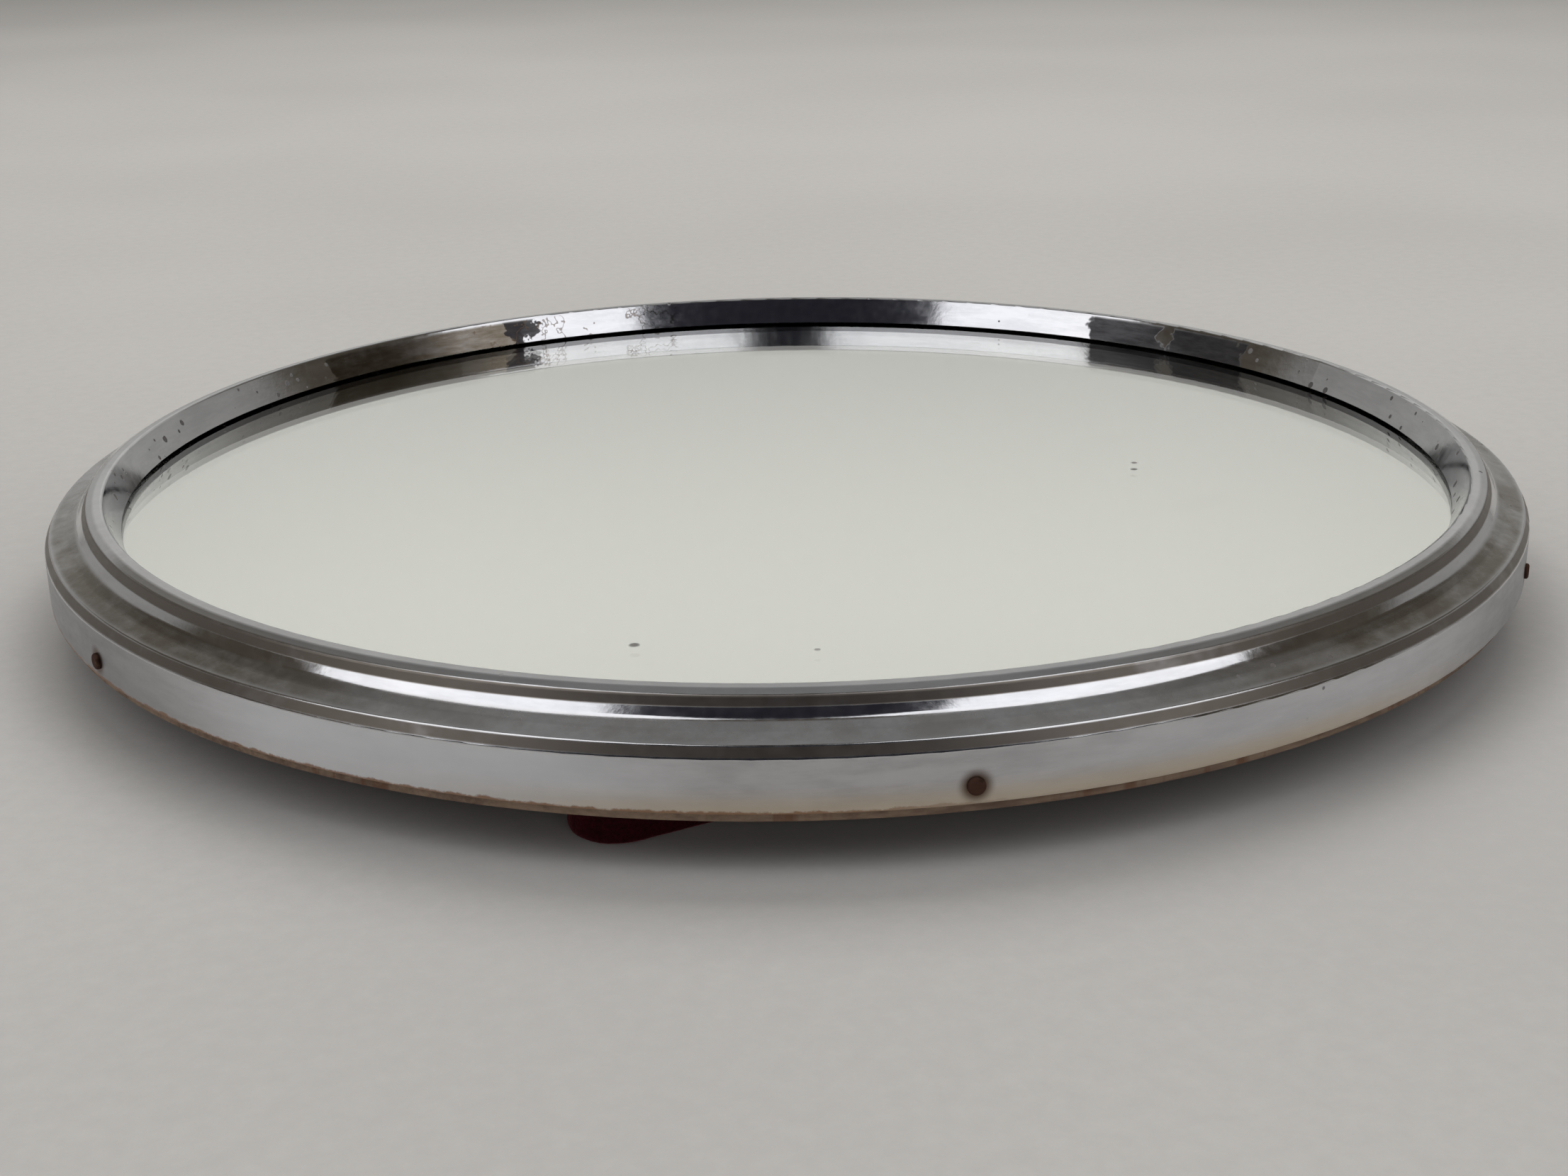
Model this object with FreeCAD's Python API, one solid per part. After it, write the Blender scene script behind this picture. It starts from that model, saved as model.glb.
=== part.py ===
import FreeCAD, Part
import math
import os
from FreeCAD import Vector

# Countertop mirror: a round mirror in a stepped chrome frame, lying on its folded velvet strut.
# Millimetres. Origin on the table under the disc axis, +Z out of the mirror face,
# -Y toward the foot of the strut, +Y toward its hinge.

# overall
DISC_R = 152.4
SHELL_T = 0.8

# heights of the layers, from the table up
STRUT_TOP = 8.0
BACK_VELVET_Z = 8.3
BOARD_Z = 9.0
RIM_Z = 10.65
CARD_Z = 15.35
FELT_Z = 16.55
PAINT_Z = 17.35
SILVER_Z = 17.5
SILVER_TOP = 17.58
GLASS_Z = 17.6
GLASS_TOP = 20.6

# radii of the layers
BOARD_R = 151.4
BACK_VELVET_R = 148.5
PACKING_R = 148.0
GLASS_R = 149.5
GLASS_EDGE = 0.4

# outer face of the frame, bottom edge to glass line: radius, height, corner radius
FRAME_SECTION = (
    (152.4, RIM_Z, 0.0),
    (152.4, 19.6, 0.7),
    (151.35, 21.55, 0.5),
    (148.0, 22.5, 4.0),
    (146.1, 23.4, 2.0),
    (144.75, 25.1, 0.15),
    (144.0, 26.6, 1.0),
    (142.6, 27.25, 1.6),
    (140.75, 27.45, 0.6),
    (137.7, 21.25, 0.0),
)

# nails through the side wall of the frame into the board
NAIL_ANGLES = (-77.6, -13.5, 44.0, 109.0, 165.5, 224.0)
NAIL_Z = 13.6
NAIL_HEAD_R = 1.5
NAIL_HEAD_H = 0.7
NAIL_SHANK_R = 0.6
NAIL_LENGTH = 11.0
NAIL_HOLE_R = 0.65

# strut, seen from above
STRUT_TOP_Y = 58.0
STRUT_TOP_HALF = 30.0
TOP_CORNER_R = 5.0
TOE_Y = -117.8
TOE_HALF = 91.1
TOE_CORNER_R = 8.0
ARCH_HALF = 78.0
ARCH_RISE = 4.0
VELVET_T = 0.7
HEM = 7.0

# hinge between the board and the strut
HINGE_Y = 62.0
HINGE_Z = 6.3
KNUCKLE_R = 2.2
KNUCKLE_GAP = 0.3
HINGE_HALF = 25.0
KNUCKLE_COUNT = 5
PIN_R = 0.9
PIN_HEAD_R = 1.5
PIN_HEAD_H = 0.6
FIXED_BORE_R = 0.92
MOVING_BORE_R = 0.95
LEAF_T = 1.2
FIXED_LEAF_L = 28.0
MOVING_LEAF_L = 27.0
LEAF_CLEARANCE = 0.1
STOP_ANGLE = 31.0
STOP_L = 8.0
STOP_GAP = 0.2

# hinge screws
SCREW_R = 1.2
SCREW_HEAD_R = 2.3
SCREW_HEAD_H = 1.1
SCREW_SLOT_W = 0.6
SCREW_SLOT_D = 0.4
BOARD_SCREW_L = 6.5
STRUT_SCREW_L = 5.4
SCREW_X = 16.0
SCREW_YS = (10.0, 21.0)


def tangent_points(before, corner, after, radius):
    """Ends and middle of the arc that rounds one corner."""
    to_before = (before - corner).normalize()
    to_after = (after - corner).normalize()
    half = to_before.getAngle(to_after) / 2.0
    reach = radius / math.tan(half)
    bisector = (to_before + to_after).normalize()
    middle = corner + bisector * (radius / math.sin(half) - radius)
    return corner + to_before * reach, middle, corner + to_after * reach


def rounded_wire(points, radii, closed):
    """Wire through the points with each corner rounded to its radius."""
    count = len(points)
    stretches = []
    for i, point in enumerate(points):
        at_end = not closed and i in (0, count - 1)
        if at_end or radii[i] == 0.0:
            stretches.append((point,))
        else:
            before = points[i - 1]
            after = points[(i + 1) % count]
            stretches.append(tangent_points(before, point, after, radii[i]))
    edges = []
    for i, stretch in enumerate(stretches):
        if len(stretch) == 3:
            edges.append(Part.Arc(*stretch).toShape())
        if i + 1 < count or closed:
            start = stretch[-1]
            end = stretches[(i + 1) % count][0]
            edges.append(Part.LineSegment(start, end).toShape())
    return Part.Wire(edges)


def disc(radius, low, high):
    return Part.makeCylinder(radius, high - low, Vector(0, 0, low))


def box(half_x, y_low, y_high, z_low, z_high):
    return Part.makeBox(2 * half_x, y_high - y_low, z_high - z_low, Vector(-half_x, y_low, z_low))


def x_cylinder(radius, x_low, x_high):
    """Cylinder along the hinge axis."""
    return Part.makeCylinder(radius, x_high - x_low, Vector(x_low, HINGE_Y, HINGE_Z), Vector(1, 0, 0))


def export(shape, node):
    shape.exportStep("parts/" + node + ".step")


# ---- frame and mirror layers ----

def radial(angle, start, length, radius, tip_radius):
    """Cylinder or cone pointing at the disc axis, angle counted from -Y toward +X."""
    turn = math.radians(angle)
    outward = Vector(math.sin(turn), -math.cos(turn), 0)
    base = outward * start + Vector(0, 0, NAIL_Z)
    if radius == tip_radius:
        return Part.makeCylinder(radius, length, base, outward * -1)
    return Part.makeCone(radius, tip_radius, length, base, outward * -1)


def nail(angle):
    """Round-headed nail with a domed head and a pointed tip."""
    shank_l = NAIL_LENGTH - 2.0
    head = radial(angle, DISC_R + NAIL_HEAD_H, NAIL_HEAD_H, NAIL_HEAD_R, NAIL_HEAD_R)
    outer = max(head.Edges, key=lambda edge: math.hypot(edge.CenterOfMass.x, edge.CenterOfMass.y))
    head = head.makeFillet(NAIL_HEAD_H * 0.7, [outer])
    shank = radial(angle, DISC_R, shank_l, NAIL_SHANK_R, NAIL_SHANK_R)
    tip = radial(angle, DISC_R - shank_l, 2.0, NAIL_SHANK_R, 0.1)
    return head.fuse([shank, tip]).removeSplitter()


def nail_cuts(radius):
    """Straight holes for all the nail shanks."""
    return [radial(angle, DISC_R + 1.0, NAIL_LENGTH, radius, radius) for angle in NAIL_ANGLES]


def chrome_frame():
    """Spun sheet-metal shell with two steps, a ridge and a sloping inner wall."""
    points = [Vector(r, 0, z) for r, z, corner in FRAME_SECTION]
    radii = [corner for r, z, corner in FRAME_SECTION]
    outline = rounded_wire(points, radii, False)
    section = outline.makeOffset2D(SHELL_T, 0, True, True)
    shell = section.revolve(Vector(0, 0, 0), Vector(0, 0, 1), 360)
    if shell.ShapeType != "Solid":
        shell = Part.makeSolid(shell)
    return shell.cut(nail_cuts(NAIL_HOLE_R))


def mirror_glass():
    glass = disc(GLASS_R, GLASS_Z, GLASS_TOP)
    rims = [edge for edge in glass.Edges if edge.Closed and edge.CenterOfMass.z > GLASS_TOP - 0.01]
    return glass.makeChamfer(GLASS_EDGE, rims)


def back_board():
    board = disc(BOARD_R, BOARD_Z, CARD_Z)
    return board.cut([nail(angle) for angle in NAIL_ANGLES] + board_screws())


def back_velvet():
    cloth = disc(BACK_VELVET_R, BACK_VELVET_Z, BOARD_Z)
    window = box(HINGE_HALF + 0.6, HINGE_Y - 4.0, HINGE_Y + FIXED_LEAF_L + 0.3, 0.0, BOARD_Z + 1.0)
    return cloth.cut(window)


# ---- hinge ----

def knuckle_spans(moving):
    """Ends along X of the knuckles that belong to one leaf."""
    pitch = 2 * HINGE_HALF / KNUCKLE_COUNT
    first = 1 if moving else 0
    return [(-HINGE_HALF + i * pitch, -HINGE_HALF + (i + 1) * pitch) for i in range(first, KNUCKLE_COUNT, 2)]


def leaf(plate, moving, bore, extras):
    """Leaf plate with its knuckles, cleared round the knuckles of the other leaf."""
    own = [x_cylinder(KNUCKLE_R, low, high) for low, high in knuckle_spans(moving)]
    body = plate.fuse(own + extras)
    reach = KNUCKLE_R + KNUCKLE_GAP
    gap = KNUCKLE_GAP / 2
    cuts = [x_cylinder(reach, low - gap, high + gap) for low, high in knuckle_spans(not moving)]
    cuts.append(x_cylinder(bore, -HINGE_HALF - 1, HINGE_HALF + 1))
    return body.cut(cuts).removeSplitter()


def hinge_fixed_leaf():
    plate = box(HINGE_HALF, HINGE_Y, HINGE_Y + FIXED_LEAF_L, BOARD_Z - LEAF_T, BOARD_Z)
    return leaf(plate, False, FIXED_BORE_R, []).cut(board_screws())


def stop_tails():
    """Short tails on the moving knuckles that meet the fixed leaf when the strut is open."""
    top = BOARD_Z - LEAF_T - STOP_GAP
    tails = []
    for low, high in knuckle_spans(True):
        corner = Vector(low + KNUCKLE_GAP, HINGE_Y, top - LEAF_T)
        tail = Part.makeBox(high - low - 2 * KNUCKLE_GAP, STOP_L, LEAF_T, corner)
        tail.rotate(Vector(0, HINGE_Y, HINGE_Z), Vector(1, 0, 0), -STOP_ANGLE)
        tails.append(tail)
    return tails


def moving_plate(margin):
    low = HINGE_Y - MOVING_LEAF_L - margin
    return box(HINGE_HALF - 1.0 + margin, low, HINGE_Y, STRUT_TOP - LEAF_T - margin, STRUT_TOP)


def hinge_moving_leaf():
    return leaf(moving_plate(0.0), True, MOVING_BORE_R, stop_tails()).cut(strut_screws())


def hinge_pin():
    """Plain pin with a small upset head at each end."""
    reach = HINGE_HALF + 0.1
    pin = x_cylinder(PIN_R, -reach, reach)
    heads = [x_cylinder(PIN_HEAD_R, -reach - PIN_HEAD_H, -reach), x_cylinder(PIN_HEAD_R, reach, reach + PIN_HEAD_H)]
    return pin.fuse(heads).removeSplitter()


def screw(x, y, z, direction, length):
    """Slotted countersunk screw, head face at z, driven along the direction."""
    axis = Vector(0, 0, direction)
    face = Vector(x, y, z)
    head = Part.makeCone(SCREW_HEAD_R, SCREW_R, SCREW_HEAD_H, face, axis)
    shank = Part.makeCylinder(SCREW_R, length - 1.5, face, axis)
    tip = Part.makeCone(SCREW_R, 0.15, 1.5, face + axis * (length - 1.5), axis)
    corner = Vector(x - SCREW_HEAD_R, y - SCREW_SLOT_W / 2, z if direction > 0 else z - SCREW_SLOT_D)
    slot = Part.makeBox(2 * SCREW_HEAD_R, SCREW_SLOT_W, SCREW_SLOT_D, corner)
    return head.fuse([shank, tip]).removeSplitter().cut(slot)


def board_screws():
    z = BOARD_Z - LEAF_T
    return [screw(x, HINGE_Y + y, z, 1, BOARD_SCREW_L) for x in (-SCREW_X, SCREW_X) for y in SCREW_YS]


def strut_screws():
    return [screw(x, HINGE_Y - y, STRUT_TOP, -1, STRUT_SCREW_L) for x in (-SCREW_X, SCREW_X) for y in SCREW_YS]


# ---- strut ----

def strut_outline(inset):
    """Closed outline of the strut: narrow at the hinge, wide at the foot, a low arch between two toes."""
    top = STRUT_TOP_Y - inset
    toe = TOE_Y + inset
    lean = (TOE_HALF - STRUT_TOP_HALF) / (STRUT_TOP_Y - TOE_Y)
    top_half = STRUT_TOP_HALF - inset * math.hypot(1.0, lean)
    toe_half = TOE_HALF - inset * math.hypot(1.0, lean)
    points = [Vector(ARCH_HALF, toe, 0), Vector(toe_half, toe, 0), Vector(top_half, top, 0)]
    points += [Vector(-top_half, top, 0), Vector(-toe_half, toe, 0), Vector(-ARCH_HALF, toe, 0)]
    toe_r = max(TOE_CORNER_R - inset, 0.0)
    top_r = max(TOP_CORNER_R - inset, 0.0)
    radii = [0.0, toe_r, top_r, top_r, toe_r, 0.0]
    sides = rounded_wire(points, radii, False)
    arch = Part.Arc(points[-1], Vector(0, toe + ARCH_RISE, 0), points[0]).toShape()
    return Part.Face(Part.Wire(sides.Edges + [arch]))


def strut_slab(inset, low, high):
    face = strut_outline(inset)
    face.translate(Vector(0, 0, low))
    return face.extrude(Vector(0, 0, high - low))


def strut_core():
    core = strut_slab(VELVET_T, VELVET_T, STRUT_TOP - VELVET_T)
    return core.cut([moving_plate(LEAF_CLEARANCE)] + strut_screws())


def strut_velvet():
    """Velvet over the lower face and the edges, turned in as a hem on the inner face."""
    cover = strut_slab(0.0, 0.0, STRUT_TOP)
    hollow = strut_slab(VELVET_T, VELVET_T, STRUT_TOP - VELVET_T)
    opening = strut_slab(HEM, STRUT_TOP - 2 * VELVET_T, STRUT_TOP + 1.0)
    return cover.cut([hollow, opening, moving_plate(LEAF_CLEARANCE)])


def strut_lining():
    lining = strut_slab(HEM + 0.2, STRUT_TOP - VELVET_T, STRUT_TOP)
    return lining.cut(moving_plate(LEAF_CLEARANCE))


os.makedirs("parts", exist_ok=True)
export(chrome_frame(), "chrome_frame")
export(mirror_glass(), "mirror_glass")
export(disc(GLASS_R, SILVER_Z, SILVER_TOP), "silver_layer")
export(disc(GLASS_R, PAINT_Z, SILVER_Z), "backing_paint")
export(disc(PACKING_R, FELT_Z, PAINT_Z), "felt_pad")
export(disc(PACKING_R, CARD_Z, FELT_Z), "card_pad")
export(back_board(), "back_board")
export(back_velvet(), "back_velvet")
export(Part.makeCompound([nail(angle) for angle in NAIL_ANGLES]), "frame_nails")
export(hinge_fixed_leaf(), "hinge_fixed_leaf")
export(hinge_pin(), "hinge_pin")
export(Part.makeCompound(board_screws()), "hinge_board_screws")
export(strut_core(), "strut_core")
export(strut_velvet(), "strut_velvet")
export(strut_lining(), "strut_lining")
export(hinge_moving_leaf(), "hinge_moving_leaf")
export(Part.makeCompound(strut_screws()), "hinge_strut_screws")
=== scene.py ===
import math

import bmesh
import bpy
from mathutils import Matrix, Vector, noise
from mathutils.geometry import delaunay_2d_cdt


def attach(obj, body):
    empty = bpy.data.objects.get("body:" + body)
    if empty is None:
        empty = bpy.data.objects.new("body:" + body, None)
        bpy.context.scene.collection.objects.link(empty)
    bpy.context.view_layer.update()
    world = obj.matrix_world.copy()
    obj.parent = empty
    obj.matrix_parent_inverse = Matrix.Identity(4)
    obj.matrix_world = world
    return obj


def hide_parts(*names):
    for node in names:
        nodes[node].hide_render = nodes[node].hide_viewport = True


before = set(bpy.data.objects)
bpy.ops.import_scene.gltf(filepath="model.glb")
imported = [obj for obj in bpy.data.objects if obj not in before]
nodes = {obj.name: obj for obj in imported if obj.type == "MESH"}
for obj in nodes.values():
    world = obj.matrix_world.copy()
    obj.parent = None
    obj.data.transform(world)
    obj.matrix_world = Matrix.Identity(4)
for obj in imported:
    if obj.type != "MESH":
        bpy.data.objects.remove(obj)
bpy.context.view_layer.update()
scene = bpy.context.scene

MM = 0.001
PER_METRE = 1000.0

# the photo's camera, with its aim in millimetres and its distance in metres
VIEW_AZIMUTH = math.radians(-24.0)
CAMERA_PITCH = math.radians(19.57)
CAMERA_ROLL = math.radians(1.09)
CAMERA_AIM = (-0.808, 0.0, -7.3)
CAMERA_DISTANCE = 0.4766
CAMERA_LENS = 49.8

# strut, in millimetres, as the part has it
STRUT_TOP_Y = 58.0
STRUT_TOP_HALF = 30.0
TOP_CORNER_R = 5.0
TOE_Y = -117.8
TOE_HALF = 91.1
TOE_CORNER_R = 8.0
ARCH_HALF = 78.0
ARCH_RISE = 4.0
STRUT_TOP = 8.0
CLOTH_T = 0.7
LEAF_HALF = 24.5
LEAF_END_Y = 34.7
LEAF_SEAT_Z = 6.62

# frame, in millimetres; bearings in degrees from the foot of the strut toward +X
DISC_R = 152.4
NAIL_ANGLES = (-77.6, -13.5, 44.0, 109.0, 165.5, 224.0)
NAIL_Z = 13.6

# marks on the inner wall, worn plating and cracks, the tan and dark patches also painted dark
# reflection: bearing and half width in degrees
TAN_PATCH = (197.0, 11.5)
DARK_PATCHES = ((114.8, 4.5), (106.2, 4.6))
CRACKED_PATCH = (186.6, 1.3)
CRACKS = (180.0, 12.0)

# marks on the frame, wear and painted light: bearing, and the angles from it where each mark
# starts and stops fading
STAINED_EDGE = (-62.0, 38.0, 55.0)
CREAM_WALL = (-10.0, 16.0, 42.0)
# painted shade on the sides of the side wall, and painted highlight on either side of its front
SHADED_WALL = (-20.0, 38.0, 60.0)
LIT_LEFT = (-48.0, 8.0, 22.0)
LIT_RIGHT = (8.0, 6.0, 26.0)
BROWN_TREADS = ((-76.0, 14.0, 34.0), (36.0, 22.0, 44.0))
PITTED_SIDES = (156.0, 50.0, 65.0)

# velvet on the board: radius, heights, and half width and ends of the window for the hinge leaf
BACK_R = 148.5
BACK_Z = 8.3
BOARD_Z = 9.0
WINDOW = (25.6, 58.0, 90.3)

# felt between glass and card
FELT_R = 148.0
FELT_LOW = 16.58
FELT_HIGH = 17.32

# outline of the lining: inset from the strut's edge, and its end past the hinge leaf
LINING_INSET = 7.2
LINING_END_Y = LEAF_END_Y + 7.0

# section of the strut's velvet, as inset from the outline and height
COVER_SECTION = (
    (1.7, 0.0), (0.9, 0.12), (0.3, 0.55), (0.0, 1.4), (0.0, 3.0), (0.0, 5.2), (0.05, 6.6),
    (0.35, 7.45), (0.95, 7.88), (1.8, 8.0), (4.2, 8.0), (6.7, 7.96), (7.0, 7.6), (6.8, 7.32),
)
COVER_FLOOR_Z = 0.9

# insets of that section between which the sides pucker and the hem's edge wavers
PUCKERED = (0.2, 1.5)
HEM_EDGE = (5.0, 6.9)

# how far the edge of a flat cloth is rounded off, in millimetres
EDGE_DROP = 0.12

# half width of the table top, in metres
FLOOR_HALF = 6.0


# ---------------------------------------------------------------- shading

class Shader:
    """A material built node by node."""

    def __init__(self, name):
        self.material = bpy.data.materials.new(name)
        self.material.use_nodes = True
        self.tree = self.material.node_tree
        self.tree.nodes.clear()
        output = self.tree.nodes.new("ShaderNodeOutputMaterial")
        self.surface = self.tree.nodes.new("ShaderNodeBsdfPrincipled")
        self.tree.links.new(self.surface.outputs[0], output.inputs[0])
        self.place = self.tree.nodes.new("ShaderNodeTexCoord").outputs["Object"]

    def put(self, value, socket):
        if isinstance(value, bpy.types.NodeSocket):
            self.tree.links.new(value, socket)
        elif socket.type == "RGBA":
            socket.default_value = (*value, 1.0)
        else:
            socket.default_value = value

    def set(self, **values):
        names = {"colour": "Base Color", "ior": "IOR", "clear": "Transmission Weight"}
        for key, value in values.items():
            self.put(value, self.surface.inputs[names.get(key, key.replace("_", " ").title())])

    def math(self, operation, a, b=0.0):
        node = self.tree.nodes.new("ShaderNodeMath")
        node.operation = operation
        self.put(a, node.inputs[0])
        self.put(b, node.inputs[1])
        return node.outputs[0]

    def add(self, a, b):
        return self.math("ADD", a, b)

    def less(self, a, b):
        return self.math("SUBTRACT", a, b)

    def times(self, a, b):
        return self.math("MULTIPLY", a, b)

    def larger(self, a, b):
        return self.math("MAXIMUM", a, b)

    def span(self, value, low, high, to_low=0.0, to_high=1.0):
        """Value mapped smoothly from low..high to to_low..to_high, held at the ends."""
        node = self.tree.nodes.new("ShaderNodeMapRange")
        node.interpolation_type = "SMOOTHSTEP"
        for socket, number in zip(node.inputs, (value, low, high, to_low, to_high)):
            self.put(number, socket)
        return node.outputs[0]

    def band(self, value, centre, half, soft):
        """One within half of the centre, falling to nothing over soft."""
        away = self.math("ABSOLUTE", self.less(value, centre))
        return self.span(away, half, half + soft, 1.0, 0.0)

    def scaled(self, factors):
        node = self.tree.nodes.new("ShaderNodeVectorMath")
        node.operation = "MULTIPLY"
        self.put(self.place, node.inputs[0])
        node.inputs[1].default_value = factors
        return node.outputs[0]

    def noise(self, scale, detail=3.0, rough=0.55, place=None):
        node = self.tree.nodes.new("ShaderNodeTexNoise")
        self.put(place or self.place, node.inputs["Vector"])
        node.inputs["Scale"].default_value = scale
        node.inputs["Detail"].default_value = detail
        node.inputs["Roughness"].default_value = rough
        return node.outputs["Fac"]

    def cells(self, scale, place=None):
        """Distance to the nearest of scattered points, and that point's random colour."""
        node = self.tree.nodes.new("ShaderNodeTexVoronoi")
        self.put(place or self.place, node.inputs["Vector"])
        node.inputs["Scale"].default_value = scale
        return node.outputs["Distance"], node.outputs["Color"]

    def specks(self, scale, size, share, place=None):
        """Scattered round spots: size in cell widths, and the share of cells that has one."""
        distance, colour = self.cells(scale, place)
        split = self.tree.nodes.new("ShaderNodeSeparateColor")
        self.put(colour, split.inputs[0])
        radius = self.times(split.outputs[1], size)
        here = self.math("LESS_THAN", split.outputs[0], share)
        near = self.span(self.less(distance, radius), -0.02, 0.02, 1.0, 0.0)
        return self.times(here, near)

    def mix(self, amount, a, b):
        node = self.tree.nodes.new("ShaderNodeMix")
        node.data_type = "RGBA"
        self.put(amount, node.inputs[0])
        self.put(a, node.inputs[6])
        self.put(b, node.inputs[7])
        return node.outputs[2]

    def bump(self, height, strength, distance, onto=None):
        node = self.tree.nodes.new("ShaderNodeBump")
        self.put(height, node.inputs["Height"])
        node.inputs["Strength"].default_value = strength
        node.inputs["Distance"].default_value = distance
        if onto is not None:
            self.put(onto, node.inputs["Normal"])
        return node.outputs[0]

    def ring(self):
        """Radius and height in millimetres, and the direction round the disc as two numbers."""
        split = self.tree.nodes.new("ShaderNodeSeparateXYZ")
        self.put(self.place, split.inputs[0])
        x, y, z = split.outputs
        radius = self.math("SQRT", self.add(self.times(x, x), self.times(y, y)))
        return self.times(radius, PER_METRE), self.times(z, PER_METRE), x, y


def off_bearing(s, x, y, bearing):
    """Degrees round the disc away from a bearing."""
    east = math.sin(math.radians(bearing))
    north = -math.cos(math.radians(bearing))
    along = s.add(s.times(x, east), s.times(y, north))
    across = s.less(s.times(y, east), s.times(x, north))
    turn = s.math("ARCTAN2", across, along)
    return s.math("ABSOLUTE", s.times(turn, math.degrees(1.0)))


def facing(s, x, y, place, ragged):
    """One on the part of the ring near a bearing, with a ragged border."""
    bearing, half = place
    angle = off_bearing(s, x, y, bearing)
    angle = s.add(angle, s.times(s.less(ragged, 0.5), 14.0))
    return s.span(angle, half - 0.3, half + 0.3, 1.0, 0.0)


def fading(s, x, y, place, near=1.0, far=0.0):
    """One value near a bearing, passing smoothly to another away from it."""
    bearing, start, stop = place
    return s.span(off_bearing(s, x, y, bearing), start, stop, near, far)


def nail_halo(s, x, y, z):
    """Rust that has crept out from each nail."""
    halo = 0.0
    for bearing in NAIL_ANGLES:
        across = s.times(off_bearing(s, x, y, bearing), math.radians(DISC_R))
        height = s.math("ABSOLUTE", s.less(z, NAIL_Z))
        away = s.math("SQRT", s.add(s.times(across, across), s.times(height, height)))
        halo = s.larger(s.span(away, 1.4, 3.4, 1.0, 0.0), halo)
    return halo


def chrome():
    """Worn chrome, with each kind of wear, painted shade and painted highlight on its own band of
    the ring.
    """
    s = Shader("worn_chrome")
    r, z, x, y = s.ring()

    # parts of the ring, by radius and height in millimetres
    wall = s.times(s.span(z, 19.6, 19.3), s.span(r, 151.9, 152.3))
    upper_riser = s.times(s.band(r, 144.35, 0.38, 0.25), s.band(z, 25.8, 0.7, 0.3))
    lower_riser = s.times(s.span(r, 151.2, 151.5), s.band(z, 20.6, 0.6, 0.4))
    inner = s.times(s.span(r, 140.6, 140.1), s.span(z, 27.0, 26.6))
    tread = s.times(s.band(r, 148.7, 2.0, 1.0), s.span(z, 21.4, 21.9))

    # patterns
    blotch = s.noise(70.0, 4.0, 0.6)
    broad = s.noise(9.0, 3.0, 0.5)
    fine = s.noise(420.0, 3.0, 0.6)
    streak = s.noise(60.0, 5.0, 0.7, s.scaled((1.0, 1.0, 6.0)))

    # soil on the risers, and patches on the inner wall: worn plating, darkened as painted dark
    # reflection
    grime = s.times(
        s.larger(upper_riser, lower_riser),
        s.span(s.noise(60.0, 4.0, 0.6), 0.2, 0.45, 0.55, 1.0),
    )
    # tan and dark patches: worn plating with painted dark reflection laid over it
    tan = s.times(inner, facing(s, x, y, TAN_PATCH, blotch))
    dark = s.larger(*(facing(s, x, y, patch, blotch) for patch in DARK_PATCHES))
    dark = s.larger(dark, facing(s, x, y, CRACKED_PATCH, s.noise(160.0, 4.0, 0.6)))
    dark = s.times(inner, dark)
    cracked = s.times(inner, facing(s, x, y, CRACKS, blotch))
    cracks = s.times(s.band(blotch, 0.5, 0.003, 0.006), cracked)

    # stains and cream colour on the side wall, with painted shade and painted highlight
    ragged_z = s.add(z, s.times(s.noise(260.0, 4.0, 0.7), 1.6))
    stained_edge = s.times(wall, s.span(ragged_z, 12.0, 11.6))
    stained_edge = s.times(stained_edge, fading(s, x, y, STAINED_EDGE, far=0.1))
    low_wall = s.times(wall, s.span(z, 15.5, 10.8, 0.0, 0.9))
    cream = s.times(fading(s, x, y, CREAM_WALL, far=0.06), low_wall)
    # painted shade: the wall darkened on its sides
    shaded = s.times(wall, fading(s, x, y, SHADED_WALL, near=0.0, far=1.0))
    # painted highlight: the wall made paler and bluer either side of the front
    lit_sides = s.larger(fading(s, x, y, LIT_LEFT), fading(s, x, y, LIT_RIGHT, near=0.5))
    lit_wall = s.times(wall, lit_sides)

    # dull and brown tread
    haze = s.times(tread, s.span(s.noise(75.0, 5.0, 0.65), 0.35, 0.65))
    sides = s.larger(*(fading(s, x, y, place) for place in BROWN_TREADS))
    mottle = s.noise(60.0, 5.0, 0.7, s.scaled((1.0, 1.0, 3.0)))
    brown = s.times(s.times(tread, sides), s.span(mottle, 0.34, 0.62, 0.45, 1.0))

    # pits through the plating
    pits = s.larger(s.specks(260.0, 0.13, 0.25), s.specks(90.0, 0.09, 0.16))
    pitted = s.times(pits, s.span(broad, 0.45, 0.6))
    far_sides = s.times(inner, fading(s, x, y, PITTED_SIDES, near=0.0, far=1.0))
    pitted = s.larger(pitted, s.times(far_sides, s.specks(330.0, 0.3, 0.8)))

    # clean metal, and each kind of wear, painted shade and painted highlight laid over it in turn
    metal = s.mix(s.span(streak, 0.35, 0.65), (0.56, 0.56, 0.575), (0.49, 0.49, 0.505))
    coats = (
        (s.times(haze, 0.55), (0.27, 0.255, 0.235)),
        (s.times(brown, 0.85), (0.125, 0.10, 0.068)),
        (s.times(grime, 0.9), (0.15, 0.125, 0.10)),
        (s.times(tan, s.span(streak, 0.3, 0.7, 0.75, 0.95)), (0.085, 0.064, 0.037)),
        (s.times(dark, s.span(streak, 0.3, 0.7, 0.85, 0.97)), (0.035, 0.033, 0.036)),
        (s.times(cracks, 0.7), (0.10, 0.07, 0.05)),
        (s.times(lit_wall, 0.85), (0.74, 0.755, 0.79)),
        (cream, (0.60, 0.52, 0.41)),
        (s.times(shaded, 0.9), (0.28, 0.285, 0.295)),
        (s.times(nail_halo(s, x, y, z), 0.9), (0.10, 0.055, 0.03)),
        (s.times(stained_edge, 0.9), (0.22, 0.105, 0.045)),
        (s.times(pitted, 0.85), (0.05, 0.04, 0.035)),
    )
    for amount, colour in coats:
        metal = s.mix(amount, metal, colour)
    s.set(colour=metal)

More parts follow.
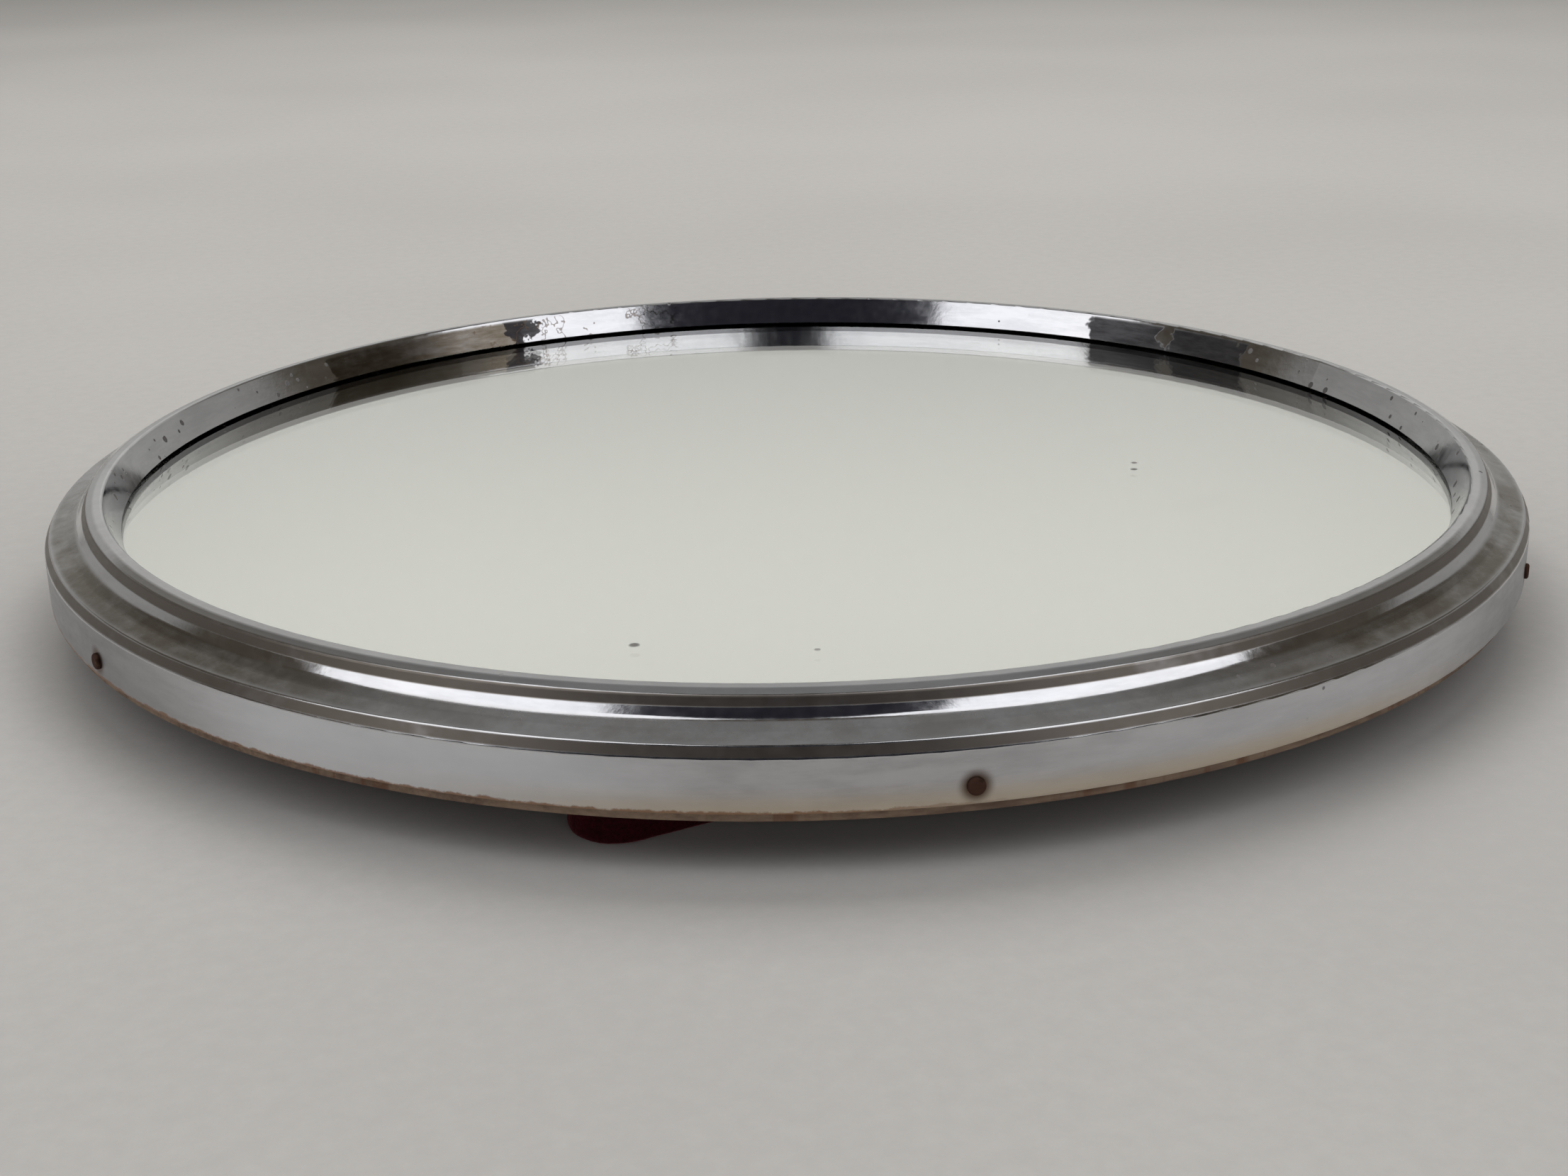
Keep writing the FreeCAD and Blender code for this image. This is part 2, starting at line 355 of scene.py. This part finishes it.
    # polish and relief
    polish = s.add(0.09, s.times(s.span(fine, 0.3, 0.7), 0.05))
    polish = s.add(polish, s.times(wall, s.span(streak, 0.3, 0.7, 0.2, 0.3)))
    polish = s.add(polish, s.add(s.times(tread, 0.08), s.times(haze, 0.12)))
    soiled = s.larger(grime, s.larger(s.times(tan, 0.4), dark))
    polish = s.add(polish, s.times(soiled, 0.3))
    polish = s.add(polish, s.times(pitted, 0.5))
    dull = s.times(s.larger(pitted, stained_edge), 0.7)
    s.set(metallic=s.less(1.0, dull), roughness=polish)
    dents = s.bump(s.noise(30.0, 2.0), 0.05, 0.0006)
    s.set(normal=s.bump(s.less(s.times(fine, 0.4), pitted), 0.25, 0.00012, dents))
    return s.material


def clear_glass():
    s = Shader("mirror_glass")
    dust = s.specks(75.0, 0.1, 0.06)
    smear = s.span(s.noise(14.0, 4.0, 0.6), 0.5, 0.75)
    scratch = s.noise(30.0, 2.0, 0.5, s.scaled((1.0, 14.0, 1.0)))
    mark = s.times(s.span(scratch, 0.71, 0.73), s.span(s.noise(18.0), 0.55, 0.65))
    s.set(colour=s.mix(dust, (0.975, 0.98, 0.965), (0.12, 0.10, 0.08)), clear=s.less(1.0, dust))
    rough = s.times(s.larger(dust, s.times(mark, 0.35)), 0.3)
    s.set(roughness=s.add(s.times(smear, 0.012), rough), ior=1.5)
    s.set(normal=s.bump(s.larger(dust, s.times(mark, -0.3)), 0.2, 0.0001))
    return s.material


def silvering():
    s = Shader("silvering")
    r = s.ring()[0]
    edge = s.times(s.span(r, 134.0, 149.0), s.span(s.noise(40.0, 4.0), 0.5, 0.6))
    spots = s.specks(90.0, 0.14, 0.03)
    worn = s.larger(s.times(edge, 0.15), s.times(spots, 0.5))
    s.set(colour=s.mix(worn, (0.93, 0.935, 0.90), (0.35, 0.30, 0.24)), metallic=1.0)
    s.set(roughness=s.times(worn, 0.3))
    return s.material


def plain(name, light, dark, scale, roughness, bump, depth):
    """Uneven matt colour with a fine surface."""
    s = Shader(name)
    grain = s.noise(scale, 5.0, 0.65)
    blotch = s.noise(scale / 12.0, 3.0)
    tone = s.add(s.times(grain, 0.6), s.times(blotch, 0.4))
    s.set(colour=s.mix(s.span(tone, 0.35, 0.65), light, dark))
    s.set(roughness=s.span(grain, 0.3, 0.7, roughness - 0.08, roughness + 0.08))
    s.set(normal=s.bump(grain, bump, depth))
    return s.material


def velvet(name, light, dark, sheen_tint):
    s = Shader(name)
    pile = s.noise(1500.0, 2.0, 0.7)
    nap = s.noise(38.0, 3.0, 0.6, s.scaled((1.0, 2.2, 1.0)))
    tuft = s.noise(420.0, 2.0, 0.5)
    tone = s.add(s.times(pile, 0.45), s.times(nap, 0.55))
    lint = s.specks(150.0, 0.12, 0.05)
    cloth = s.mix(s.span(tone, 0.36, 0.64), dark, light)
    s.set(colour=s.mix(s.times(lint, 0.6), cloth, (0.30, 0.20, 0.19)), roughness=0.92)
    s.surface.inputs["Sheen Weight"].default_value = 0.55
    s.surface.inputs["Sheen Roughness"].default_value = 0.35
    s.surface.inputs["Sheen Tint"].default_value = (*sheen_tint, 1.0)
    s.surface.inputs["Specular IOR Level"].default_value = 0.15
    s.set(normal=s.bump(pile, 0.6, 0.0003, s.bump(tuft, 0.5, 0.0005, s.bump(nap, 0.2, 0.001))))
    return s.material


def woven(name, light, dark):
    """Plain weave whose pattern repeats every 0.6 mm."""
    s = Shader(name)
    split = s.tree.nodes.new("ShaderNodeSeparateXYZ")
    s.put(s.place, split.inputs[0])
    pitch = 2.0 * math.pi / (0.6 * MM)
    warp = s.math("SINE", s.times(split.outputs[0], pitch))
    weft = s.math("SINE", s.times(split.outputs[1], pitch))
    weave = s.times(warp, weft)
    fade = s.noise(30.0, 4.0)
    tone = s.add(s.times(weave, 0.2), fade)
    s.set(colour=s.mix(s.span(tone, 0.3, 0.75), dark, light), roughness=0.9)
    s.surface.inputs["Sheen Weight"].default_value = 0.15
    s.set(normal=s.bump(weave, 0.4, 0.0002))
    return s.material


def timber(name, light, dark, plies):
    """Wood with grain along X; plywood shows its layers, 2.6 mm a pair, at the edge."""
    s = Shader(name)
    z = s.ring()[1]
    grain = s.noise(90.0, 5.0, 0.65, s.scaled((0.12, 1.0, 1.0)))
    fibre = s.noise(900.0, 3.0, 0.6, s.scaled((0.05, 1.0, 1.0)))
    drip = s.noise(330.0, 3.0, 0.6, s.scaled((1.0, 1.0, 0.06)))
    tone = s.add(s.times(grain, 0.6), s.times(fibre, 0.4))
    wood = s.mix(s.span(tone, 0.35, 0.65), light, dark)
    if plies:
        layer = s.math("SINE", s.times(z, 2.0 * math.pi / 2.6))
        wood = s.mix(s.span(layer, -0.4, 0.5, 0.0, 0.45), wood, dark)
    rust = s.times(s.span(drip, 0.5, 0.68), s.span(s.noise(20.0), 0.42, 0.55))
    wood = s.mix(s.times(rust, 0.75), wood, (0.12, 0.045, 0.018))
    s.set(colour=wood, roughness=s.span(tone, 0.3, 0.7, 0.7, 0.9))
    s.set(normal=s.bump(tone, 0.4, 0.0002))
    return s.material


def steel(name, light, dark, rust, roughness, rusting):
    """Plated steel that has dulled, with rust where the plating is gone."""
    s = Shader(name)
    brush = s.noise(700.0, 4.0, 0.6, s.scaled((0.08, 1.0, 1.0)))
    eaten = s.span(s.noise(260.0, 5.0, 0.7), rusting, rusting + 0.08)
    pits = s.specks(1400.0, 0.35, 0.25)
    metal = s.mix(s.span(brush, 0.35, 0.65), light, dark)
    s.set(colour=s.mix(eaten, metal, rust), metallic=s.less(1.0, s.times(eaten, 0.8)))
    polish = s.span(brush, 0.3, 0.7, roughness, roughness + 0.12)
    s.set(roughness=s.add(polish, s.times(eaten, 0.35)))
    s.set(normal=s.bump(s.add(s.times(eaten, 0.6), s.times(pits, -0.4)), 0.5, 0.0001))
    return s.material


def wear(node, material):
    mesh = nodes[node].data
    mesh.materials.clear()
    mesh.materials.append(material)


# ---------------------------------------------------------------- cloth pieces

def arc_points(centre, radius, start, end, count):
    step = (end - start) / count
    angles = [start + i * step for i in range(count + 1)]
    return [(centre[0] + radius * math.cos(a), centre[1] + radius * math.sin(a)) for a in angles]


def run_points(a, b, pitch):
    """Points from a up to but not including b."""
    count = max(1, round(math.dist(a, b) / pitch))
    across, along = b[0] - a[0], b[1] - a[1]
    return [(a[0] + across * i / count, a[1] + along * i / count) for i in range(count)]


def strut_loop(inset, top_y=STRUT_TOP_Y, pitch=2.0):
    """Outline of the strut moved inward, counter-clockwise from the right end of the arch."""
    lean = math.atan2(TOE_HALF - STRUT_TOP_HALF, STRUT_TOP_Y - TOE_Y)
    shift = inset / math.cos(lean)
    toe_y = TOE_Y + inset
    top = top_y - inset

    def side_x(y):
        return TOE_HALF - (y - TOE_Y) * math.tan(lean) - shift

    toe_r = max(TOE_CORNER_R - inset, 0.05)
    top_r = max(TOP_CORNER_R - inset, 0.05)
    toe_x = side_x(toe_y + toe_r) - toe_r / math.cos(lean)
    top_x = side_x(top - top_r) - top_r / math.cos(lean)
    toe_arc = arc_points((toe_x, toe_y + toe_r), toe_r, -math.pi / 2, lean, 10)
    top_arc = arc_points((top_x, top - top_r), top_r, lean, math.pi / 2, 8)
    right = []
    if toe_x > ARCH_HALF + 0.1:
        right += run_points((ARCH_HALF, toe_y), toe_arc[0], pitch)
    right += toe_arc[:-1] + run_points(toe_arc[-1], top_arc[0], 3.0) + top_arc
    left = [(-x, y) for x, y in reversed(right)]
    top_run = run_points(right[-1], left[0], pitch)[1:]
    start = right[0][0]
    rise = ARCH_RISE * (start / ARCH_HALF) ** 2
    bend = (start ** 2 + rise ** 2) / (2 * rise)
    half = math.asin(start / bend)
    centre = (0, right[0][1] + rise - bend)
    arch = arc_points(centre, bend, math.pi / 2 + half, math.pi / 2 - half, 70)[1:-1]
    return right + top_run + left + arch


def inside(point, loop):
    x, y = point
    hit = False
    for (ax, ay), (bx, by) in zip(loop, loop[1:] + loop[:1]):
        if (ay > y) != (by > y) and x < (bx - ax) * (y - ay) / (by - ay) + ax:
            hit = not hit
    return hit


def filled(loop, hole, pitch):
    """Triangles over the loop less the hole, with points of their own inside."""
    xs = [p[0] for p in loop]
    ys = [p[1] for p in loop]
    outline = list(loop) + list(hole)
    points = list(outline)
    first = len(loop)
    edges = [(i, (i + 1) % first) for i in range(first)]
    edges += [(first + i, first + (i + 1) % len(hole)) for i in range(len(hole))]

    def within(point):
        return inside(point, loop) and not (hole and inside(point, hole))

    row = 0
    y = min(ys) + pitch
    while y < max(ys):
        x = min(xs) + (pitch / 2 if row % 2 else 0.0)
        while x < max(xs):
            near = min((x - px) ** 2 + (y - py) ** 2 for px, py in outline)
            if near > (0.6 * pitch) ** 2 and within((x, y)):
                points.append((x, y))
            x += pitch
        y += pitch * 0.87
        row += 1
    flat = [Vector(p) for p in points]
    verts, _, faces, sources, _, _ = delaunay_2d_cdt(flat, edges, [], 1, 1e-5)
    verts = [(v.x, v.y) for v in verts]
    place = {source: i for i, group in enumerate(sources) for source in group}
    kept = []
    for face in faces:
        middle = [sum(verts[i][k] for i in face) / len(face) for k in (0, 1)]
        if within(middle):
            kept.append(tuple(face))
    borders = [[place[i] for i in range(first)]]
    if hole:
        borders.append([place[first + i] for i in range(len(hole))])
    return verts, kept, borders


def uneven(x, y, size, depth):
    """Slow rise and fall of cloth, in millimetres."""
    return depth * noise.noise(Vector((x / size, y / size, 3.7)))


def finished(name, mesh_data, material, body):
    mesh = bpy.data.meshes.new(name)
    mesh_data.normal_update()
    bmesh.ops.recalc_face_normals(mesh_data, faces=mesh_data.faces)
    mesh_data.to_mesh(mesh)
    mesh_data.free()
    mesh.transform(Matrix.Scale(MM, 4))
    mesh.materials.append(material)
    for face in mesh.polygons:
        face.use_smooth = True
    piece = bpy.data.objects.new(name, mesh)
    scene.collection.objects.link(piece)
    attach(piece, body)
    return piece


def laid_cloth(name, loop, hole, low, high, pitch, depth, material, body):
    """Flat cloth with rounded edges between two heights."""
    verts, faces, borders = filled(loop, hole, pitch)
    data = bmesh.new()
    on_border = {i for border in borders for i in border}
    middle = (low + high) / 2
    half = (high - low) / 2
    skins = []
    for side in (-1, 1):
        skin = []
        for i, (x, y) in enumerate(verts):
            drop = EDGE_DROP if i in on_border else abs(uneven(x, y, 14.0, depth))
            skin.append(data.verts.new((x, y, middle + side * (half - drop))))
        skins.append(skin)
    for face in faces:
        data.faces.new([skins[1][i] for i in face])
        data.faces.new([skins[0][i] for i in reversed(face)])
    for border in borders:
        for a, b in zip(border, border[1:] + border[:1]):
            if a != b:
                data.faces.new([skins[0][a], skins[0][b], skins[1][b], skins[1][a]])
    return finished(name, data, material, body)


def strut_cover(material):
    """Velvet drawn round the strut: lower face, rounded edges and the hem on the inner face."""
    data = bmesh.new()
    rings = []
    base = strut_loop(0.0)
    for inset, z in COVER_SECTION:
        ring = []
        for (x, y), (bx, by) in zip(strut_loop_matched(inset), base):
            seam = pull = 0.0
            if HEM_EDGE[0] < inset < HEM_EDGE[1]:
                seam = 0.45 * noise.noise(Vector((bx / 7.0, by / 7.0, 1.3)))
            if PUCKERED[0] < inset < PUCKERED[1]:
                pull = 0.16 * (noise.noise(Vector((bx / 3.5, by / 3.5, z / 4.0))) - 0.5)
            over_leaf = z > LEAF_SEAT_Z and abs(x) < LEAF_HALF and y > LEAF_END_Y
            level = (LEAF_SEAT_Z if over_leaf else z) + max(pull, -0.1) * 0.5
            out = Vector((x, y)).normalized() * seam
            ring.append(data.verts.new((x + out.x, y + out.y, min(level, STRUT_TOP))))
        rings.append(ring)
    for lower, upper in zip(rings, rings[1:]):
        count = len(lower)
        for i in range(count):
            j = (i + 1) % count
            data.faces.new([lower[i], lower[j], upper[j], upper[i]])
    bottom = [(v.co.x, v.co.y) for v in rings[0]]
    verts, faces, borders = filled(bottom, [], 7.0)
    ring_of = dict(zip(borders[0], rings[0]))
    skin = [
        ring_of.get(i) or data.verts.new((x, y, abs(uneven(x, y, 22.0, 0.18))))
        for i, (x, y) in enumerate(verts)
    ]
    for face in faces:
        data.faces.new([skin[i] for i in reversed(face)])
    inner = rings[-1]
    deep = [data.verts.new((v.co.x, v.co.y, COVER_FLOOR_Z)) for v in inner]
    for i in range(len(inner)):
        j = (i + 1) % len(inner)
        data.faces.new([inner[i], inner[j], deep[j], deep[i]])
    data.faces.new(deep)
    return finished("strut_velvet_cover", data, material, "strut")


def strut_loop_matched(inset):
    """The strut's outline moved inward, with one point for each point of the outer outline."""
    base = strut_loop(0.0)
    count = len(base)
    moved = []
    for i in range(count):
        ax, ay = base[i - 1]
        bx, by = base[i]
        cx, cy = base[(i + 1) % count]
        first = Vector((bx - ax, by - ay)).normalized()
        second = Vector((cx - bx, cy - by)).normalized()
        along = (first + second).normalized()
        inward = Vector((-along.y, along.x))
        grow = 1.0 / max(0.5, inward.dot(Vector((-first.y, first.x))))
        moved.append((bx + inward.x * inset * grow, by + inward.y * inset * grow))
    return moved


def circle(radius, count):
    angles = [2 * math.pi * i / count for i in range(count)]
    return [(radius * math.cos(a), radius * math.sin(a)) for a in angles]


def rectangle(half, low, high, pitch):
    corners = [(-half, low), (half, low), (half, high), (-half, high)]
    loop = []
    for a, b in zip(corners, corners[1:] + corners[:1]):
        loop += run_points(a, b, pitch)
    return loop


# ---------------------------------------------------------------- stage

def turned(x, y, z):
    """A place given as seen by the camera, with y away from it, in the object's frame."""
    return Matrix.Rotation(VIEW_AZIMUTH, 3, "Z") @ Vector((x, y, z))


def camera():
    target = turned(*CAMERA_AIM) * MM
    back = turned(0.0, -math.cos(CAMERA_PITCH), math.sin(CAMERA_PITCH))
    right = turned(1.0, 0.0, 0.0)
    up = back.cross(right)
    data = bpy.data.cameras.new("camera")
    data.lens = CAMERA_LENS
    data.sensor_width = 36.0
    data.clip_start = 0.01
    data.clip_end = 50.0
    eye = bpy.data.objects.new("camera", data)
    axes = Matrix((right, up, back)).transposed() @ Matrix.Rotation(-CAMERA_ROLL, 3, "Z")
    eye.matrix_world = Matrix.Translation(target + back * CAMERA_DISTANCE) @ axes.to_4x4()
    scene.collection.objects.link(eye)
    scene.camera = eye


def floor():
    s = Shader("pale_floor")
    tone = s.noise(3.0, 2.0)
    fibre = s.noise(900.0, 2.0)
    mottle = s.add(s.times(tone, 0.6), s.times(s.noise(260.0, 4.0, 0.7), 0.4))
    paper = s.mix(s.span(mottle, 0.35, 0.65), (0.51, 0.495, 0.474), (0.468, 0.454, 0.436))
    grit = s.specks(40.0, 0.035, 0.02)
    s.set(colour=s.mix(s.times(grit, 0.6), paper, (0.2, 0.18, 0.17)), roughness=0.9)
    s.surface.inputs["Specular IOR Level"].default_value = 0.15
    s.set(normal=s.bump(fibre, 0.15, 0.0002))
    mesh = bpy.data.meshes.new("floor")
    size = FLOOR_HALF
    corners = [(-size, -size, 0), (size, -size, 0), (size, size, 0), (-size, size, 0)]
    mesh.from_pydata(corners, [], [(0, 1, 2, 3)])
    mesh.materials.append(s.material)
    ground = bpy.data.objects.new("floor", mesh)
    scene.collection.objects.link(ground)


def softbox(name, place, size, power, colour, mirrored):
    """A soft light that shiny surfaces show only if it is mirrored."""
    data = bpy.data.lights.new(name, "AREA")
    data.shape = "RECTANGLE"
    data.size, data.size_y = size
    data.energy = power
    data.color = colour
    light = bpy.data.objects.new(name, data)
    light.location = turned(*place)
    light.rotation_mode = "QUATERNION"
    light.rotation_quaternion = (-light.location).to_track_quat("-Z", "Y")
    light.visible_glossy = mirrored
    scene.collection.objects.link(light)


def surroundings():
    """Pale backdrop behind the object, dim overhead, and a dark room on the camera's side."""
    world = bpy.data.worlds.new("studio")
    scene.world = world
    world.use_nodes = True
    tree = world.node_tree
    tree.nodes.clear()
    output = tree.nodes.new("ShaderNodeOutputWorld")
    background = tree.nodes.new("ShaderNodeBackground")
    tree.links.new(background.outputs[0], output.inputs[0])
    direction = tree.nodes.new("ShaderNodeTexCoord").outputs["Generated"]

    def toward(axis, low, high, both=False):
        """One in the directions toward the axis, nothing in the others."""
        dot = tree.nodes.new("ShaderNodeVectorMath")
        dot.operation = "DOT_PRODUCT"
        tree.links.new(direction, dot.inputs[0])
        dot.inputs[1].default_value = axis
        value = dot.outputs["Value"]
        if both:
            size = tree.nodes.new("ShaderNodeMath")
            size.operation = "ABSOLUTE"
            tree.links.new(value, size.inputs[0])
            value = size.outputs[0]
        span = tree.nodes.new("ShaderNodeMapRange")
        span.interpolation_type = "SMOOTHSTEP"
        tree.links.new(value, span.inputs[0])
        span.inputs[1].default_value = low
        span.inputs[2].default_value = high
        return span.outputs[0]

    def over(amount, *colours):
        mix = tree.nodes.new("ShaderNodeMix")
        mix.data_type = "RGBA"
        tree.links.new(amount, mix.inputs[0])
        for colour, socket in zip(colours, mix.inputs[6:8]):
            if isinstance(colour, tuple):
                socket.default_value = (*colour, 1.0)
            else:
                tree.links.new(colour, socket)
        return mix.outputs[2]

    up = (0.0, 0.0, 1.0)
    sky = over(toward(up, 0.10, 0.36), (0.46, 0.46, 0.44), (0.76, 0.755, 0.725))
    sky = over(toward(up, 0.25, 0.9), sky, (0.27, 0.27, 0.265))
    wings = over(toward(up, 0.32, 0.40), (0.37, 0.365, 0.35), (0.09, 0.076, 0.056))
    sky = over(toward(turned(1.0, 0.0, 0.0), 0.14, 0.78, both=True), sky, wings)
    sky = over(toward(turned(0.0, -1.0, 0.0), -0.10, -0.02), sky, (0.075, 0.062, 0.045))
    sky = over(toward(turned(0.0, -0.94, 0.34), 0.45, 0.7), sky, (0.022, 0.022, 0.029))
    tree.links.new(sky, background.inputs[0])


camera()
floor()
surroundings()
for side, place in (("left", (-1.20, -0.70, 1.60)), ("right", (1.16, -0.76, 1.60))):
    softbox(
        f"window_{side}", place, size=(1.35, 2.0), power=14.0,
        colour=(0.97, 0.98, 1.0), mirrored=True,
    )
softbox(
    "top_light", (0.0, 1.0, 1.5), size=(1.8, 1.2), power=20.0,
    colour=(1.0, 0.995, 0.98), mirrored=False,
)
softbox(
    "low_fill", (0.0, -2.2, 0.7), size=(3.0, 0.8), power=9.0,
    colour=(1.0, 0.99, 0.98), mirrored=False,
)
scene.view_settings.view_transform = "Standard"

hinge_steel = steel(
    "hinge_steel", light=(0.48, 0.47, 0.44), dark=(0.36, 0.35, 0.33), rust=(0.14, 0.06, 0.025),
    roughness=0.3, rusting=0.6,
)
screw_steel = steel(
    "screw_steel", light=(0.44, 0.43, 0.40), dark=(0.30, 0.29, 0.27), rust=(0.12, 0.05, 0.02),
    roughness=0.34, rusting=0.57,
)
rusty_nail = steel(
    "rusty_nail", light=(0.10, 0.055, 0.036), dark=(0.05, 0.028, 0.02), rust=(0.055, 0.021, 0.012),
    roughness=0.5, rusting=0.4,
)
back_paint = plain(
    "backing_paint", light=(0.10, 0.075, 0.06), dark=(0.07, 0.05, 0.04),
    scale=300.0, roughness=0.6, bump=0.2, depth=0.0001,
)
grey_card = plain(
    "grey_card", light=(0.36, 0.30, 0.23), dark=(0.27, 0.22, 0.16),
    scale=500.0, roughness=0.9, bump=0.3, depth=0.0002,
)
grey_felt = plain(
    "grey_felt", light=(0.24, 0.235, 0.22), dark=(0.16, 0.155, 0.145),
    scale=900.0, roughness=0.92, bump=0.6, depth=0.0004,
)
burgundy = velvet(
    "burgundy_velvet", light=(0.048, 0.004, 0.008), dark=(0.017, 0.002, 0.003),
    sheen_tint=(0.45, 0.12, 0.14),
)
lining_cloth = woven("lining_cloth", light=(0.10, 0.018, 0.02), dark=(0.05, 0.008, 0.01))
board_wood = timber("plywood", light=(0.27, 0.19, 0.13), dark=(0.13, 0.085, 0.06), plies=True)
strut_wood = timber("strut_wood", light=(0.48, 0.33, 0.19), dark=(0.32, 0.20, 0.11), plies=False)

wear("chrome_frame", chrome())
wear("mirror_glass", clear_glass())
wear("silver_layer", silvering())
wear("backing_paint", back_paint)
wear("card_pad", grey_card)
wear("back_board", board_wood)
wear("strut_core", strut_wood)
wear("frame_nails", rusty_nail)
for hinge_node in ("hinge_fixed_leaf", "hinge_moving_leaf", "hinge_pin"):
    wear(hinge_node, hinge_steel)
for screw_node in ("hinge_board_screws", "hinge_strut_screws"):
    wear(screw_node, screw_steel)

back_cloth = laid_cloth(
    "back_velvet_cloth", circle(BACK_R, 240), rectangle(*WINDOW, 3.0),
    low=BACK_Z, high=BOARD_Z, pitch=7.0, depth=0.12,
    material=burgundy, body="mirror",
)
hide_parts("back_velvet")

cover = strut_cover(burgundy)
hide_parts("strut_velvet")

lining = laid_cloth(
    "strut_lining_cloth", strut_loop(LINING_INSET, LINING_END_Y, 3.0), [],
    low=STRUT_TOP - CLOTH_T, high=STRUT_TOP - 0.02, pitch=6.0, depth=0.1,
    material=lining_cloth, body="strut",
)
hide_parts("strut_lining")

felt_disc = laid_cloth(
    "felt_packing", circle(FELT_R, 180), [],
    low=FELT_LOW, high=FELT_HIGH, pitch=12.0, depth=0.1,
    material=grey_felt, body="mirror",
)
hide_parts("felt_pad")
